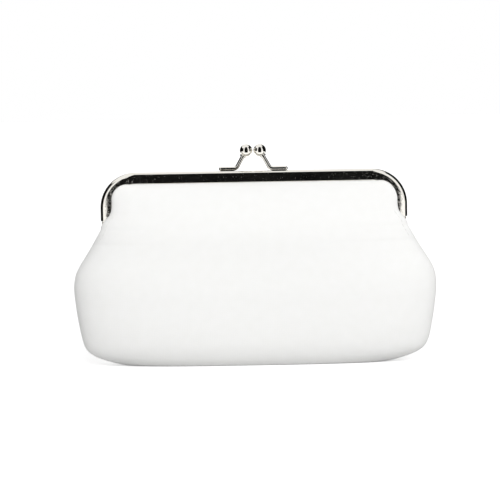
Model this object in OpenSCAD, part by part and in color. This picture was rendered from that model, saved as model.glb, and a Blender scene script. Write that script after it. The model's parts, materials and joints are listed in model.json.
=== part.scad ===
// Clutch purse with a kiss-lock frame: two sprung steel frame halves on side
// rivets, a pair of ball catches, and a padded, lined cloth body that is
// tucked and corded into the channel of each half.
// The purse stands on its base at z = 0, its front faces -Y, and the hinge
// line of the frame runs along X.

/* [Body] */
// Width of the cloth body at its widest, seam to seam
body_w = 209; // [200:1:220]
// Depth of the body from front to back where it is fullest
body_d = 46.6; // [43:0.2:52]
// Depth of the body from front to back at the hinge line
neck_d = 40; // [37:0.5:43]
// Height of the frame's hinge line above the base
hinge_z = 79; // [74:1:88]
// How far below the hinge line the side seams stop
seam_drop = 7.5; // [6:0.5:9]

/* [Cloth layers] */
// Thickness of the outer cloth
skin_t = 0.8; // [0.6:0.05:0.9]
// Thickness of the foam padding
padding_t = 1.8; // [1:0.1:2]
// Thickness of the padding where it is skived thin at the frame
skived_t = 0.3; // [0.2:0.05:0.4]
// Thickness of the lining
lining_t = 0.5; // [0.3:0.05:0.55]
// Air between one layer and the next
ply_gap = 0.15; // [0.1:0.01:0.18]
// Air between the lower cloth and the cloth that swings inside it
lap_gap = 0.3; // [0.25:0.05:0.5]

/* [Frame] */
// Width across the outside of the frame's legs
frame_w = 176; // [172:1:182]
// Height of the frame's top above the hinge line
frame_h = 32; // [30:1:36]
// Radius of the frame's outer corners
corner_r = 20; // [18:0.5:22]
// Radius of the opening's corners in each outer face
opening_r = 9; // [8:0.5:11]
// Height of the channel section, from its crown to its mouth
channel_h = 6.5; // [6.2:0.1:7]
// Thickness of each frame half, front to back
half_t = 4.6; // [4.4:0.1:5]
// Thickness of the frame's sheet steel
sheet_t = 0.7; // [0.6:0.05:0.75]
// Radius of the shoulder between the crown and the outer face
shoulder_r = 2.4; // [2:0.1:2.6]
// Radius of the heel between the crown and the inner face
heel_r = 0.9; // [0.8:0.05:1.1]
// Gap between the two halves when the frame is shut
shut_gap = 0.3; // [0.2:0.05:0.4]
// How far the cloth is tucked into the channel
tuck = 3; // [2.4:0.1:3.2]
// How far the swinging cloth reaches below the hinge line
lap_drop = 0.9; // [0.5:0.1:1.2]
// Clearance between the cloth and the channel's walls
tuck_gap = 0.05; // [0.02:0.01:0.08]
// Distance from the channel's mouth to the middle of the paper cord
cord_depth = 1.3; // [1:0.1:1.6]

/* [Hinge] */
// Radius of the round lugs that overlap at each end of the frame
lug_r = 4.2; // [3.8:0.1:4.4]
// Gap left round a lug by the ends of the channel
lug_gap = 0.4; // [0.3:0.05:0.6]
// Running gap between two lugs, and under the rivet's heads
lug_play = 0.1; // [0.06:0.01:0.12]
// Diameter of the rivet's shank
rivet_d = 2.2; // [1.8:0.1:2.6]
// Radial clearance of the shank in its holes
rivet_play = 0.05; // [0.03:0.01:0.08]
// Diameter of the rivet's domed outer head
head_d = 4.8; // [4.2:0.1:5.2]
// Height of the rivet's domed outer head
head_h = 0.9; // [0.7:0.05:1.1]
// Diameter of the rivet's peened inner head
tail_d = 3.8; // [3.2:0.1:4.2]
// Height of the rivet's peened inner head
tail_h = 0.7; // [0.5:0.05:0.9]

/* [Clasp] */
// Diameter of each ball
ball_d = 7.3; // [6.5:0.1:8]
// Gap between the two balls when the purse is shut
ball_gap = 0.5; // [0.4:0.05:0.8]
// Height of the balls' centres above the frame's crown
ball_rise = 11.6; // [10.5:0.1:13]
// Distance from the clasp's middle to the outer end of a foot
foot_reach = 19.8; // [17:0.2:22]
// Diameter of the rod that an arm is bent from
rod_d = 2.4; // [2:0.1:2.6]
// Width of the flat pressed under a foot
foot_flat = 1.6; // [1.2:0.1:1.8]
// Radius of the bend between foot and stem, at the rod's middle
bend_r = 3; // [2.6:0.1:3.6]
// Slope of the stem above the crown, in degrees
stem_slope = 61; // [56:1:66]
// How far the stem goes into its ball
socket_depth = 2; // [1.6:0.1:2.4]
// Clearance of the stem in its ball
socket_gap = 0.02; // [0.01:0.01:0.04]
// Diameter of the collar where the stem enters the ball
collar_d = 3.6; // [3.2:0.1:4]
// Length of that collar outside the ball
collar_l = 0.5; // [0.3:0.05:0.8]

/* [Hidden] */

// Fineness of round shapes, and how far a cut runs past the solid that it cuts
$fn = 48;
overrun = 1;

// The frame's outline, seen from the front
frame_top = hinge_z + frame_h;
corner_x = frame_w / 2 - corner_r;
corner_z = frame_top - corner_r;
channel_foot_z = hinge_z + lug_r + lug_gap;

// The channel's section, as distances forward of the purse's middle plane
back_y = shut_gap / 2;
slot_back_y = back_y + sheet_t;
slot_front_y = back_y + half_t - sheet_t;
cloth_y = slot_front_y - tuck_gap;
tucked_stack = skin_t + skived_t + lining_t + 2 * ply_gap;

// The twisted paper cord fills what room the tucked cloth leaves behind it
cord_d = cloth_y - tucked_stack - slot_back_y - 2 * tuck_gap;
cord_y = slot_back_y + tuck_gap + cord_d / 2;

// Insets of the body's layers from its outer face
padding_inset = skin_t + ply_gap;
lining_inset = padding_inset + padding_t + ply_gap;
inner_inset = lining_inset + lining_t;
lap_inset = skin_t + lap_gap;

// Colours of the real materials
cloth_colour = "whitesmoke";
foam_colour = "beige";
lining_colour = "gainsboro";
nickel_colour = "silver";
paper_colour = "tan";

function lerp(a, b, k) = a + (b - a) * k;
function clamp01(k) = max(0, min(1, k));
function smooth(k) = let (c = clamp01(k)) c * c * (3 - 2 * c);

// The lower body is a stack of plan outlines. A level is a height as a share
// of hinge_z. Up to the widest level the half width is a share of the body's,
// and above it the share of the way in to the frame's legs.
level_shares = [0, 0.02, 0.065, 0.115, 0.165, 0.29, 0.42, 0.57, 0.65, 0.72, 0.8, 0.885, 1];
widest_share = 0.57;
belly_shares = [
    [0, 0.71], [0.02, 0.79], [0.065, 0.885], [0.115, 0.935],
    [0.165, 0.955], [0.29, 0.975], [0.42, 0.99], [widest_share, 1]
];
waist_shares = [[widest_share, 0], [0.65, 0.04], [0.72, 0.18], [0.8, 0.42], [0.885, 0.68], [1, 1]];

// Half depths: up to the fullest level a share of the body's half depth, and
// above it the share of the way in to the neck's half depth.
fullest_share = 0.42;
base_depth_shares = [
    [0, 0.63], [0.02, 0.755], [0.065, 0.875], [0.115, 0.93],
    [0.165, 0.96], [0.29, 1], [fullest_share, 1]
];
neck_depth_shares = [[fullest_share, 0], [0.57, 0.12], [0.65, 0.27], [0.72, 0.4], [0.8, 0.58], [1, 1]];

// Exponents of the plan outline, a superellipse that gets softer upwards
side_powers = [[0, 3.6], [0.29, 3], [widest_share, 2.6], [1, 2.2]];
face_powers = [[0, 2.4], [widest_share, 2.4], [1, 2.8]];

// Columns round each half of the body, from one side seam to the other
body_columns = 22;

// Near each side seam the cloth's top edge dips to clear the hinge, between
// these shares of the half width
dip_from_share = 0.9;
dip_to_share = 0.99;

function half_w(level) = level <= widest_share
    ? body_w / 2 * lookup(level, belly_shares)
    : lerp(body_w / 2, frame_w / 2, lookup(level, waist_shares));

function half_d(level) = level <= fullest_share
    ? body_d / 2 * lookup(level, base_depth_shares)
    : lerp(body_d / 2, neck_d / 2, lookup(level, neck_depth_shares));

// Half depth of a plan outline, as a share, at a share of its half width
function outline_share(u, level) =
    pow(max(0, 1 - pow(abs(u), lookup(level, side_powers))), 1 / lookup(level, face_powers));

function column_turn(i) = 180 * i / body_columns;
function column_u(i, level) = let (c = cos(column_turn(i)))
    sign(c) * pow(abs(c), 2 / lookup(level, side_powers));
function column_dip(i) = let (u = abs(column_u(i, 1)))
    1 - seam_drop / hinge_z * smooth((u - dip_from_share) / (dip_to_share - dip_from_share));

// A point on the body's front half, at an inset from its outer face
function body_point(i, share, inset) = let (
    level = share * column_dip(i),
    u = column_u(i, level),
    on_seam = i == 0 || i == body_columns
) [
    (half_w(level) - inset) * u,
    on_seam ? 0 : -(half_d(level) - inset) * outline_share(u, level),
    inset + level * (hinge_z - inset)
];

// Faces of a closed shell between an outer grid and an inner grid of points,
// each with the same rows and columns. The outer grid's points come first, and
// faces wind clockwise as seen from outside. closed_base joins each grid's
// first row with one flat face.
function shell_faces(rows, columns, closed_base) = let (
    count = rows * columns,
    last = columns - 1,
    top = (rows - 1) * columns
) concat(
    [for (r = [0 : rows - 2], c = [0 : last - 1]) let (p = r * columns + c)
        each [[p, p + columns + 1, p + columns], [p, p + 1, p + columns + 1]]],
    [for (r = [0 : rows - 2], c = [0 : last - 1]) let (p = count + r * columns + c)
        each [[p, p + columns, p + columns + 1], [p, p + columns + 1, p + 1]]],
    [for (c = [0 : last - 1]) let (p = top + c)
        each [[p, p + count + 1, p + count], [p, p + 1, p + count + 1]]],
    [for (r = [0 : rows - 2]) let (p = r * columns)
        each [[p, p + count + columns, p + count], [p, p + columns, p + count + columns]]],
    [for (r = [0 : rows - 2]) let (p = r * columns + last)
        each [[p, p + columns + count, p + columns], [p, p + count, p + columns + count]]],
    closed_base
        ? [
            [for (c = [last : -1 : 0]) c],
            [for (c = [0 : last]) count + c],
            [0, count, count + last, last]
        ]
        : [for (c = [0 : last - 1]) each [[c, count + c + 1, c + 1], [c, count + c, count + c + 1]]]
);

// One layer of the lower body's front half, between two insets
module body_layer(outer_inset, inner_inset, shares) {
    points = [
        for (inset = [outer_inset, inner_inset], share = shares, i = [0 : body_columns])
            body_point(i, share, inset)
    ];
    polyhedron(points, shell_faces(len(shares), body_columns + 1, true), convexity = 6);
}

// The upper body fills the window of a frame half. Its rows are level lines,
// and its columns are shares of the window's half width at each level, with
// one more column tucked into the channel at each side.
window_top = frame_top - channel_h;
window_r = corner_r - channel_h;
tuck_r = window_r + tuck;
window_turns = [0, 22.5, 45, 67.5, 90];
window_shares = [0, 0.15, 0.3, 0.45, 0.6, 0.72, 0.82, 0.9, 0.945, 0.975, 1];
leg_row_shares = [0, 0.3, 0.62];
lower_edge_z = hinge_z - lap_drop;

function arc_half_w(z, r) = corner_x + (z <= corner_z ? r : sqrt(max(0, r * r - pow(z - corner_z, 2))));
function window_half_w(z) = z >= window_top ? corner_x : arc_half_w(z, window_r);
function tuck_half_w(z) = arc_half_w(z, tuck_r);

upper_rows = concat(
    [for (k = leg_row_shares) lerp(lower_edge_z, corner_z, k)],
    [for (turn = window_turns) corner_z + window_r * sin(turn)],
    [corner_z + tuck_r]
);
window_columns = concat(
    [for (k = [len(window_shares) - 1 : -1 : 1]) -window_shares[k]],
    window_shares
);

// Distance from a point inside the window to the channel's mouth
function mouth_distance(x, z) = let (dx = abs(x) - corner_x, dz = z - corner_z)
    dx > 0 && dz > 0 ? window_r - norm([dx, dz]) : window_r - max(dx, dz);

// Reach of the upper cloth in front of the middle plane at the hinge line. All
// of it stays within this distance of the hinge line, so it swings clear.
function lap_reach(x) =
    (neck_d / 2 - lap_inset) * outline_share(min(1, abs(x) / (frame_w / 2 - lap_inset)), 1);

// The bulge of the cloth ends higher where it is deeper. Near the channel's
// mouth the cloth and its padding thin out, over a share of the channel's height.
bulge_rise_share = 0.35;
taper_share = 0.6;
bulge_power = 1.45;
mouth_taper = taper_share * channel_h;
function bulge_top(x) = let (
    middle = lap_reach(0),
    deep = clamp01((lap_reach(x) - cloth_y) / (middle - cloth_y))
) min(window_top - hinge_z, lap_reach(x) * (1 + bulge_rise_share * deep));

function cloth_depth(x, z) = let (
    rise = clamp01((z - hinge_z) / bulge_top(x)),
    swell = max(0, lap_reach(x) - cloth_y) * (1 - pow(rise, bulge_power))
) cloth_y + swell * smooth(mouth_distance(x, z) / mouth_taper);

function padding_at(x, z) = lerp(skived_t, padding_t, clamp01(mouth_distance(x, z) / mouth_taper));

// Depth of each face of the layers behind the cloth's outer face
function face_depth(face, x, z) = cloth_depth(x, z) - (
    face == "outer" ? 0
    : face == "skin_back" ? skin_t
    : face == "padding_front" ? padding_inset
    : face == "padding_back" ? padding_inset + padding_at(x, z)
    : face == "lining_front" ? padding_inset + padding_at(x, z) + ply_gap
    : padding_inset + padding_at(x, z) + ply_gap + lining_t
);

function upper_point(face, x, z) = [x, -face_depth(face, x, z), z];

function upper_row(face, z, tucked, trim) = concat(
    tucked ? [upper_point(face, tuck_half_w(z), z)] : [],
    [for (k = [len(window_columns) - 1 - trim : -1 : trim])
        upper_point(face, window_columns[k] * window_half_w(z), z)],
    tucked ? [upper_point(face, -tuck_half_w(z), z)] : []
);

// One layer of the upper body's front half. A tucked layer runs into the
// channel, and an untucked one stops short of it by one row and column.
module upper_layer(front_face, back_face, tucked) {
    rows = tucked ? upper_rows : [for (k = [0 : len(upper_rows) - 3]) upper_rows[k]];
    trim = tucked ? 0 : 1;
    columns = len(window_columns) + (tucked ? 2 : -2);
    points = [for (face = [front_face, back_face], z = rows) each upper_row(face, z, tucked, trim)];
    polyhedron(points, shell_faces(len(rows), columns, false), convexity = 6);
}

module outer_lower() color(cloth_colour) body_layer(0, skin_t, level_shares);

module inner_lower_shares(from, to, colour) {
    shares = [for (k = [0 : len(level_shares) - 2]) level_shares[k]];
    color(colour) body_layer(from, to, shares);
}

module padding_lower() inner_lower_shares(padding_inset, padding_inset + padding_t, foam_colour);
module lining_lower() inner_lower_shares(lining_inset, inner_inset, lining_colour);
module outer_upper() color(cloth_colour) upper_layer("outer", "skin_back", true);
module padding_upper() color(foam_colour) upper_layer("padding_front", "padding_back", false);
module lining_upper() color(lining_colour) upper_layer("lining_front", "lining_back", true);

// Sweeps a section round the frame's U. The section's x is the radius at the
// corners, and its y is the distance forward of the middle plane.
module frame_sweep(foot_z) {
    translate([-corner_x, 0, corner_z])
        rotate(a = 180, v = [1, 0, 1])
            linear_extrude(height = 2 * corner_x)
                children();
    for (side = [0, 1])
        mirror([side, 0, 0])
            translate([corner_x, 0, corner_z]) {
                rotate([90, 0, 0])
                    rotate_extrude(angle = 90)
                        children();
                rotate([180, 0, 0])
                    linear_extrude(height = corner_z - foot_z)
                        children();
            }
}

module quarter_disc(r) {
    intersection() {
        circle(r = r);
        square(r);
    }
}

// A bar's section, with its crown rounded by one radius at the back and by
// another at the front
module crowned_section(crown, depth, rear_y, face_y, rear_r, face_r) {
    translate([crown - depth, rear_y])
        square([depth - rear_r, rear_r]);
    translate([crown - rear_r, rear_y + rear_r])
        mirror([0, 1])
            quarter_disc(rear_r);
    translate([crown - depth, rear_y + rear_r])
        square([depth, face_y - face_r - rear_y - rear_r]);
    translate([crown - face_r, face_y - face_r])
        quarter_disc(face_r);
    translate([crown - depth, face_y - face_r])
        square([depth - face_r, face_r]);
}

// The channel's sheet follows that section, and its two edges are rounded
module channel_section() {
    wall_l = channel_h - sheet_t / 2;
    difference() {
        crowned_section(corner_r, wall_l, back_y, back_y + half_t, heel_r, shoulder_r);
        crowned_section(
            corner_r - sheet_t, wall_l + overrun,
            slot_back_y, slot_front_y, heel_r - sheet_t, shoulder_r - sheet_t
        );
    }
    for (wall_y = [back_y, slot_front_y])
        translate([corner_r - wall_l, wall_y + sheet_t / 2])
            circle(d = sheet_t);
}

// A round lug with a neck that reaches up into the leg. Drawn in the plane of
// the side view: x is the distance forward, and y the height over the hinge.
module lug_outline(neck_top) {
    circle(r = lug_r);
    translate([slot_back_y, 0])
        square([min(lug_r, slot_front_y) - slot_back_y, neck_top]);
}

module lug_plate(inner_x, neck_top, bored) {
    translate([inner_x, 0, hinge_z])
        rotate([90, 0, -90])
            mirror([0, 0, 1])
                linear_extrude(height = sheet_t)
                    difference() {
                        lug_outline(neck_top);
                        if (bored)
                            circle(r = rivet_d / 2 + rivet_play);
                    }
}

outer_lug_x = frame_w / 2 - 2 * sheet_t;
inner_lug_x = outer_lug_x - sheet_t - lug_play;
joggle_z = lug_r + lug_gap + sheet_t;
neck_top = joggle_z + lug_r;

// The step by which the inner lug joins the leg's outer wall
module joggle() {
    translate([inner_lug_x, -slot_front_y, hinge_z + joggle_z])
        cube([frame_w / 2 - inner_lug_x - sheet_t, slot_front_y - slot_back_y, neck_top - joggle_z]);
}

// The outer face is trimmed at its inner corners, where the cloth fills more of
// the opening than the bent channel would leave. The cut bites a little into
// the straight edges, so that it runs out of them at an angle.
trim_bite = sheet_t / 7;

module corner_trim() {
    for (side = [0, 1])
        mirror([side, 0, 0])
            translate([
                frame_w / 2 - channel_h - opening_r + trim_bite,
                sheet_t / 2 - slot_front_y,
                window_top - opening_r + trim_bite
            ])
                rotate([90, 0, 0])
                    cylinder(r = opening_r, h = sheet_t + overrun);
}

module frame_half() {
    color(nickel_colour)
        difference() {
            frame_sweep(channel_foot_z)
                channel_section();
            corner_trim();
        }
}

module front_frame_channel() {
    frame_half();
    color(nickel_colour)
        for (side = [0, 1])
            mirror([side, 0, 0]) {
                lug_plate(inner_lug_x, neck_top, true);
                joggle();
            }
}

module rear_frame_channel() {
    mirror([0, 1, 0]) {
        frame_half();
        color(nickel_colour)
            for (side = [0, 1])
                mirror([side, 0, 0])
                    lug_plate(outer_lug_x, neck_top, true);
    }
}

// The domed head is a slice of a ball of this radius
dome_r = (head_h * head_h + head_d * head_d / 4) / (2 * head_h);

module hinge_rivet() {
    head_x = outer_lug_x + sheet_t + lug_play / 2;
    tail_x = inner_lug_x - lug_play / 2;
    color(nickel_colour)
        translate([tail_x - tail_h, 0, hinge_z])
            rotate([0, 90, 0]) {
                cylinder(h = tail_h, r1 = tail_d / 2 - tail_h / 2, r2 = tail_d / 2);
                cylinder(h = head_x - tail_x + tail_h, d = rivet_d);
                translate([0, 0, head_x - tail_x + tail_h])
                    rotate_extrude()
                        intersection() {
                            translate([0, head_h - dome_r])
                                circle(r = dome_r);
                            square([head_d / 2, head_h]);
                        }
            }
}

// A clasp arm is one rod: a foot along the flat of the crown, a bend, and a
// stem that rises to the ball and leans in to the middle plane.
foot_y = back_y + (heel_r + half_t - shoulder_r) / 2;
rod_z = frame_top + rod_d / 2;
ball_x = (ball_d + ball_gap) / 2;
stem_lean = atan(foot_y / (ball_rise - rod_d / 2));
stem_rise = norm([foot_y, ball_rise - rod_d / 2]);
stem_l = (stem_rise - bend_r * (1 - cos(stem_slope))) / sin(stem_slope);
bend_x = ball_x + stem_l * cos(stem_slope) + bend_r * sin(stem_slope);

// Turns the plane of the bend and the stem about the foot's axis
module in_arm_plane() {
    translate([bend_x, -foot_y, rod_z])
        rotate([-stem_lean, 0, 0])
            translate([0, 0, bend_r])
                children();
}

// Places children where the stem leaves the bend, with +Z along the stem
module at_stem_foot() {
    in_arm_plane()
        rotate([0, stem_slope, 0])
            translate([0, 0, -bend_r])
                rotate([0, -90, 0])
                    children();
}

module foot_section() {
    circle(d = rod_d);
    translate([0, -foot_flat / 2])
        square([rod_d / 2, foot_flat]);
}

module clasp_arm() {
    color(nickel_colour) {
        translate([bend_x, -foot_y, rod_z])
            rotate([0, 90, 0])
                linear_extrude(height = foot_reach - rod_d / 2 - bend_x)
                    foot_section();
        translate([foot_reach - rod_d / 2, -foot_y, rod_z])
            sphere(d = rod_d);
        in_arm_plane()
            rotate([90, 90, 0])
                rotate([0, 0, -stem_slope])
                    rotate_extrude(angle = stem_slope)
                        translate([bend_r, 0])
                            circle(d = rod_d);
        at_stem_foot()
            cylinder(h = stem_l - ball_d / 2 + socket_depth, d = rod_d);
    }
}

module clasp_ball() {
    socket_mouth = ball_d / 2 + collar_l;
    color(nickel_colour)
        at_stem_foot()
            translate([0, 0, stem_l])
                difference() {
                    union() {
                        sphere(d = ball_d);
                        translate([0, 0, -socket_mouth])
                            cylinder(h = socket_mouth, d = collar_d);
                    }
                    translate([0, 0, -socket_mouth - overrun])
                        cylinder(
                            h = overrun + collar_l + socket_depth + socket_gap,
                            d = rod_d + 2 * socket_gap
                        );
                }
}

module paper_cord() {
    color(paper_colour)
        frame_sweep(channel_foot_z)
            translate([corner_r - channel_h + cord_depth, cord_y])
                circle(d = cord_d);
}

front_frame_channel();
rear_frame_channel();
mirror([1, 0, 0]) hinge_rivet();  // left_hinge_rivet
hinge_rivet();  // right_hinge_rivet
clasp_arm();  // front_clasp_arm
rotate([0, 0, 180]) clasp_arm();  // rear_clasp_arm
clasp_ball();  // front_clasp_ball
rotate([0, 0, 180]) clasp_ball();  // rear_clasp_ball
paper_cord();  // front_paper_cord
mirror([0, 1, 0]) paper_cord();  // rear_paper_cord
outer_lower();  // front_outer_lower
mirror([0, 1, 0]) outer_lower();  // rear_outer_lower
outer_upper();  // front_outer_upper
mirror([0, 1, 0]) outer_upper();  // rear_outer_upper
padding_lower();  // front_padding_lower
mirror([0, 1, 0]) padding_lower();  // rear_padding_lower
padding_upper();  // front_padding_upper
mirror([0, 1, 0]) padding_upper();  // rear_padding_upper
lining_lower();  // front_lining_lower
mirror([0, 1, 0]) lining_lower();  // rear_lining_lower
lining_upper();  // front_lining_upper
mirror([0, 1, 0]) lining_upper();  // rear_lining_upper
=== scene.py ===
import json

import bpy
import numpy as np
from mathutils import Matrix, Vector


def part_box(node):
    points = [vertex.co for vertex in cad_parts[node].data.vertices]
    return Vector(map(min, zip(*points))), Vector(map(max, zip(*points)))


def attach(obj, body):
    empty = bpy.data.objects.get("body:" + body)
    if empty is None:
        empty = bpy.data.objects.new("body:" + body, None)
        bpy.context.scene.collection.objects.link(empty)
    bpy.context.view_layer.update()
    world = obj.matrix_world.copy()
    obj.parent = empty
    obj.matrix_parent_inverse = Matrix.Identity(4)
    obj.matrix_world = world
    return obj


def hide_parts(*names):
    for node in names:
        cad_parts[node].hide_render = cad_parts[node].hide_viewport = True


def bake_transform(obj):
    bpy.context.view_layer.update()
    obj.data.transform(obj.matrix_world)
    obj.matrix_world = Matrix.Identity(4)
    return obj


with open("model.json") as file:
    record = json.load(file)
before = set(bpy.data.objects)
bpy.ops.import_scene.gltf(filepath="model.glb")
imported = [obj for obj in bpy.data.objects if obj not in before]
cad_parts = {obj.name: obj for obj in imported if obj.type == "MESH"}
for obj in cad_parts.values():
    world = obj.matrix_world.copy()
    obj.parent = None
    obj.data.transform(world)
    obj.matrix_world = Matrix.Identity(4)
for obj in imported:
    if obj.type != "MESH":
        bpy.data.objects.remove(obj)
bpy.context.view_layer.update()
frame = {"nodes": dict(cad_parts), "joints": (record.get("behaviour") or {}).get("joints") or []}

# %% [markdown]
# A padded clutch purse with a kiss-lock frame. Two bent steel channels swing on
# side rivets, two balls snap past each other on the crown, and the white cloth
# body is tucked into the channels and wedged there by a twisted paper cord.
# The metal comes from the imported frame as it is. The cloth, foam, lining and
# cords are made here, because their looks lie in smooth curved surfaces. All
# lengths below are in millimetres, and they become metres only when a mesh is made.

MM = 0.001


def box_mm(node):
    """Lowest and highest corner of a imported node, in millimetres."""
    low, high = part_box(node)
    return np.array(low) / MM, np.array(high) / MM


hinge_z = frame["joints"][0]["pos_m"][2] / MM
frame_half_w = box_mm("front_frame_channel")[1][0]
crown_z = box_mm("front_frame_channel")[1][2]
face_y = -box_mm("front_frame_channel")[0][1]
belly_half_w = box_mm("front_outer_lower")[1][0]
belly_half_d = -box_mm("front_outer_lower")[0][1]
print(f"hinge line at {hinge_z:.1f}, crown at {crown_z:.1f}, frame half width {frame_half_w:.1f}")
print(
    f"body half width {belly_half_w:.1f}, half depth {belly_half_d:.1f}, "
    f"frame face at {face_y:.2f}"
)

# %% [markdown]
# The camera stands level with the purse, a little above it, and 1.2 m away, so
# that the purse is seen almost without perspective. One pixel of the square
# picture is then 0.577 mm at the purse. The photograph leans by one degree, so
# the camera is rolled by as much.

# %% Camera
CAMERA_DISTANCE = 1200
CAMERA_ELEVATION = 4
CAMERA_ROLL = -1.0
AIM = (-2.65, 0, 65.3)
SENSOR, LENS = 36, 150
FAR_CLIP = 50         # metres
PICTURE = 500         # pixels along the square picture's side

camera = bpy.data.objects.new("camera", bpy.data.cameras.new("camera"))
bpy.context.scene.collection.objects.link(camera)
bpy.context.scene.camera = camera
camera.data.sensor_width = SENSOR
camera.data.lens = LENS
camera.data.clip_end = FAR_CLIP
lift = np.radians(CAMERA_ELEVATION)
aim = Vector(AIM) * MM
camera.location = aim + Vector((0, -np.cos(lift), np.sin(lift))) * CAMERA_DISTANCE * MM
look = (aim - camera.location).to_track_quat("-Z", "Y").to_matrix().to_4x4()
camera.matrix_world = Matrix.Translation(camera.location) @ look @ Matrix.Rotation(
    np.radians(CAMERA_ROLL), 4, "Z"
)
print(f"one pixel is {CAMERA_DISTANCE * SENSOR / LENS / PICTURE:.3f} mm at the purse")

# %% [markdown]
# A surface here is a grid of points. Its rows run up the purse and its columns
# run across it, and every point comes from a formula worked on whole arrays.
# The grid's real lengths, measured along the cloth, become its UV map, so that
# a weave keeps its size wherever the cloth curves.

# %% Helpers for curves and grids


def eased(at, stations, values):
    """Smooth curve through stations: cubic pieces whose slopes at a station are
    the harmonic mean of the slopes on its two sides, so it never overshoots."""
    at, s, v = (np.asarray(a, float) for a in (at, stations, values))
    slope = np.diff(v) / np.diff(s)
    both = slope[:-1] * slope[1:]
    total = np.where(both > 0, slope[:-1] + slope[1:], 1)
    ends = np.concatenate([slope[:1], np.where(both > 0, 2 * both / total, 0), slope[-1:]])
    k = np.clip(np.searchsorted(s, at, side="right") - 1, 0, len(s) - 2)
    step = s[k + 1] - s[k]
    t = np.clip((at - s[k]) / step, 0, 1)
    return (
        v[k] * (1 + 2 * t) * (1 - t) ** 2
        + v[k + 1] * t * t * (3 - 2 * t)
        + step * t * (1 - t) * (ends[k] * (1 - t) - ends[k + 1] * t)
    )


def smooth_step(value, start, end):
    """0 before start, 1 after end, and the cubic 3t^2 - 2t^3 between them."""
    t = np.clip((np.asarray(value, float) - start) / (end - start), 0, 1)
    return t * t * (3 - 2 * t)


def run_length(points, axis):
    """Distance along one direction of a grid, summed from point to point."""
    steps = np.linalg.norm(np.diff(points, axis=axis), axis=2)
    start = np.zeros_like(np.take(points[..., 0], [0], axis=axis))
    return np.concatenate([start, np.cumsum(steps, axis=axis)], axis=axis)


def grid_faces(rows, columns, flip=False, closed=False):
    """Corner numbers of a grid's quads. A closed grid joins its last column to its first."""
    across = columns if closed else columns - 1
    r, c = np.meshgrid(np.arange(rows - 1), np.arange(across), indexing="ij")
    n = (c + 1) % columns
    low, high = r * columns, (r + 1) * columns
    quads = np.stack([low + c, low + n, high + n, high + c], -1).reshape(-1, 4)
    return quads[:, ::-1] if flip else quads


def make_piece(name, points, faces, uv, material):
    """A smooth mesh object from points in millimetres, a tuple of arrays of faces,
    and UVs in millimetres of cloth, or None. The mesh holds both in metres."""
    mesh = bpy.data.meshes.new(name)
    corners = sum((block.tolist() for block in faces), [])
    mesh.from_pydata((points.reshape(-1, 3) * MM).tolist(), [], corners)
    mesh.polygons.foreach_set("use_smooth", np.ones(len(mesh.polygons), bool))
    if uv is not None:
        corner = np.zeros(len(mesh.loops), np.int32)
        mesh.loops.foreach_get("vertex_index", corner)
        layer = mesh.uv_layers.new(name="cloth")
        layer.data.foreach_set("uv", (uv.reshape(-1, 2)[corner] * MM).astype(np.float32).ravel())
    mesh.update()
    mesh.materials.append(material)
    piece = bpy.data.objects.new(name, mesh)
    bpy.context.scene.collection.objects.link(piece)
    return piece


# %% [markdown]
# The materials are procedural. One function turns the hex colours, as a screen
# shows them, into the linear numbers that Blender mixes. One adds a node with its
# settings and links, and one mixes two close colours by a pattern. Most surfaces
# need such a mix, a bump and a roughness, and the last function gives them those.

# %% Helpers for materials


def linear(hex_colour):
    """An sRGB hex colour as linear red, green and blue, with full alpha."""
    s = np.array([int(hex_colour[i:i + 2], 16) / 255 for i in (1, 3, 5)])
    return (*np.where(s <= 0.04045, s / 12.92, ((s + 0.055) / 1.055) ** 2.4), 1.0)


def add_node(tree, kind, settings=None, links=None):
    """A new node. Settings are attributes or sockets by name or number, and each
    link is a socket with the node and output that feed it."""
    node = tree.nodes.new(kind)
    for key, value in (settings or {}).items():
        if isinstance(key, str) and hasattr(node, key):
            setattr(node, key, value)
        else:
            node.inputs[key].default_value = value
    for key, (source, output) in (links or {}).items():
        tree.links.new(source.outputs[output], node.inputs[key])
    return node


def new_material(name):
    """An empty node material, its tree and its Principled shader, linked to the output."""
    material = bpy.data.materials.new(name)
    material.use_nodes = True
    tree = material.node_tree
    tree.nodes.clear()
    shader = add_node(tree, "ShaderNodeBsdfPrincipled")
    add_node(tree, "ShaderNodeOutputMaterial", links={"Surface": (shader, "BSDF")})
    return material, tree, shader


def tinted(tree, shader, colours, pattern):
    """Colour the shader by two hex colours, mixed by a pattern: a node and its output."""
    tint = add_node(
        tree, "ShaderNodeMix",
        {"data_type": "RGBA", 6: linear(colours[0]), 7: linear(colours[1])}, {0: pattern},
    )
    tree.links.new(tint.outputs[2], shader.inputs["Base Color"])


def bumped(tree, height, strength, depth, under=None):
    """A bump from a pattern, its depth in millimetres, on top of another bump if given."""
    links = {"Height": height}
    if under is not None:
        links["Normal"] = (under, "Normal")
    settings = {"Strength": strength, "Distance": depth * MM}
    return add_node(tree, "ShaderNodeBump", settings, links)


def dress(tree, shader, colours, tint_by, height, strength, depth, roughness):
    """Give a shader two mixed colours, a bump and a roughness."""
    tinted(tree, shader, colours, tint_by)
    relief = bumped(tree, height, strength, depth)
    tree.links.new(relief.outputs["Normal"], shader.inputs["Normal"])
    shader.inputs["Roughness"].default_value = roughness


# %% [markdown]
# The body is polyester cloth, plain woven from fine thread and calendered, so
# it is smooth and matt with a faint bloom at grazing angles. Real threads lie
# 0.25 mm apart, which no pixel here could show, so they are drawn 0.5 mm apart
# and very shallow. A weave is two wave patterns, one along each direction of
# the UV map, multiplied so that threads pass over and under.

# %% Woven cloth
WAVE_PERIOD = 2 * np.pi / 20  # length of one band of a Wave Texture at scale 1
SLUB = 6                      # size of the uneven patches in the yarn's colour


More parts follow.
